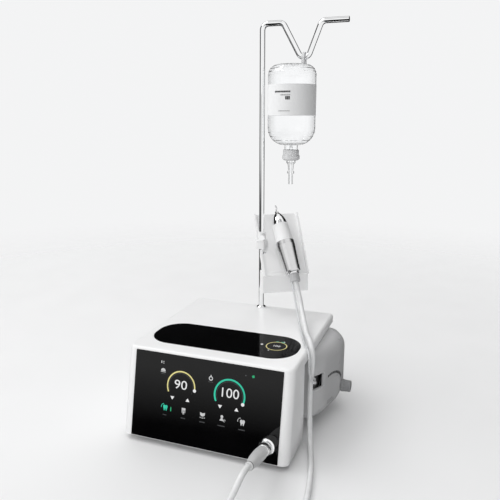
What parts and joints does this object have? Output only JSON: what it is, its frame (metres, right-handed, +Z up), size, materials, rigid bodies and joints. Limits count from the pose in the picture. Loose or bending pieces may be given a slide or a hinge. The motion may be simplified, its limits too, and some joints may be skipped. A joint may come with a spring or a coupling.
{
  "type": "ultrasonic scaler",
  "caption": "Desktop ultrasonic scaler: sloping touch-screen case with side pump, bent pole with hanging fluid bottle, tray with corded handpiece.",
  "frame": {"origin": "on the table plane under the middle of the case footprint, on its left-right plane of symmetry", "axes": "+X to the operator's right, +Y to the back, +Z up"},
  "size_m": [0.248, 0.4385, 0.5045],
  "materials": {
    "white_shell": "satin",
    "black_glass": "polished",
    "steel_tray": "brushed",
    "circuit_board": "matte",
    "dark_plastic": "matte",
    "rubber_foot": "matte",
    "grey_panel": "matte",
    "steel_screw": "satin",
    "black_plastic": "satin",
    "chrome_part": "polished",
    "grey_plastic": "satin",
    "silicone_tube": "translucent",
    "white_plastic": "satin",
    "clear_bottle": "clear",
    "grey_label": "matte",
    "stopper_rubber": "matte",
    "clear_cap": "clear",
    "steel_grip": "satin",
    "titanium": "satin",
    "piezo_ceramic": "matte",
    "steel_tip": "polished",
    "grey_cord": "satin"
  },
  "bodies": {
    "case": {"upper_shell": "white_shell", "front_glass": "black_glass", "top_glass": "black_glass", "display_module": "steel_tray", "display_board": "circuit_board", "rear_chassis": "dark_plastic", "base_pan": "dark_plastic", "rubber_feet": "rubber_foot", "rear_panel": "grey_panel", "panel_screws": "steel_screw", "mains_inlet": "black_plastic", "power_switch_body": "black_plastic", "pedal_socket": "chrome_part", "fan_frame": "black_plastic", "main_board": "circuit_board", "board_parts": "black_plastic", "transformer": "steel_tray", "power_supply": "grey_panel", "pump_housing": "grey_plastic", "pump_bracket": "dark_plastic", "pump_motor": "steel_tray", "pump_tube": "silicone_tube", "flow_valve": "dark_plastic", "pole_ferrule": "dark_plastic", "pole_socket": "dark_plastic", "handpiece_socket": "chrome_part", "plug_core": "steel_tray", "plug_sleeve": "grey_plastic", "cord_rise": "grey_cord", "cord_front": "grey_cord", "cord_coil": "grey_cord", "water_tube": "silicone_tube"},
    "pole": {"fluid_pole": "chrome_part", "handpiece_cradle": "white_plastic", "cradle_clamp": "white_plastic", "cord_connector": "grey_plastic", "cord_rise_top": "grey_cord", "water_tube_top": "silicone_tube"},
    "bottle": {"saline_bottle": "clear_bottle", "bottle_label": "grey_label", "bottle_stopper": "stopper_rubber", "bottle_cap": "clear_cap", "drip_spike": "clear_cap", "hanging_loop": "clear_bottle"},
    "handpiece": {"handpiece_grip": "steel_grip", "handpiece_sleeve": "white_plastic", "nose_cone": "chrome_part", "sonic_horn": "titanium", "ceramic_stack": "piezo_ceramic", "stack_bolt": "steel_tray", "scaler_tip": "steel_tip"},
    "clamp_screw": {"clamp_knob": "chrome_part"},
    "rocker": {"power_rocker": "black_plastic"},
    "fan": {"fan_rotor": "black_plastic"},
    "rotor": {"pump_rotor": "white_plastic"},
    "roller_1": {"pump_roller_1": "white_plastic"},
    "roller_2": {"pump_roller_2": "white_plastic"},
    "roller_3": {"pump_roller_3": "white_plastic"},
    "knob": {"flow_knob": "grey_plastic"},
    "lock_ring": {"plug_ring": "chrome_part"}
  },
  "joints": [
    {"name": "pole_swivel", "type": "hinge", "parent": "case", "child": "pole", "pos_m": [0, 0.101, 0.3], "axis": [0, 0, 1], "range_deg": [-20, 20]},
    {"name": "bottle_swing", "type": "hinge", "parent": "pole", "child": "bottle", "pos_m": [0.0568, 0.101, 0.4576], "axis": [1, 0, 0], "range_deg": [-15, 15]},
    {"name": "handpiece_pull_off", "type": "slide", "parent": "pole", "child": "handpiece", "axis": [-0.3997, 0.4367, 0.8059], "range_m": [0, 0.025]},
    {"name": "clamp_screw_turn", "type": "hinge", "parent": "pole", "child": "clamp_screw", "pos_m": [0.0033, 0.09156, 0.2185], "axis": [0.33, -0.944, 0], "range_deg": [-180, 180]},
    {"name": "power_rocker_tilt", "type": "hinge", "parent": "case", "child": "rocker", "pos_m": [-0.0285, 0.1067, 0.029], "axis": [1, 0, 0], "range_deg": [-6, 6]},
    {"name": "fan_spin", "type": "hinge", "parent": "case", "child": "fan", "pos_m": [0.03, 0.101, 0.072], "axis": [0, 1, 0], "continuous": true},
    {"name": "pump_spin", "type": "hinge", "parent": "case", "child": "rotor", "pos_m": [0.103, 0.005, 0.066], "axis": [1, 0, 0], "continuous": true},
    {"name": "roller_1_spin", "type": "hinge", "parent": "rotor", "child": "roller_1", "pos_m": [0.103, -0.00816, 0.06121], "axis": [1, 0, 0], "continuous": true},
    {"name": "roller_2_spin", "type": "hinge", "parent": "rotor", "child": "roller_2", "pos_m": [0.103, 0.01572, 0.057], "axis": [1, 0, 0], "continuous": true},
    {"name": "roller_3_spin", "type": "hinge", "parent": "rotor", "child": "roller_3", "pos_m": [0.103, 0.00743, 0.07979], "axis": [1, 0, 0], "continuous": true},
    {"name": "flow_knob_turn", "type": "hinge", "parent": "case", "child": "knob", "pos_m": [0.13, 0.054, 0.034], "axis": [1, 0, 0], "range_deg": [0, 270]},
    {"name": "lock_ring_slide", "type": "slide", "parent": "case", "child": "lock_ring", "axis": [0, -0.9781, 0.2079], "range_m": [0, 0.003], "stiffness_N_per_m": 400}
  ]
}
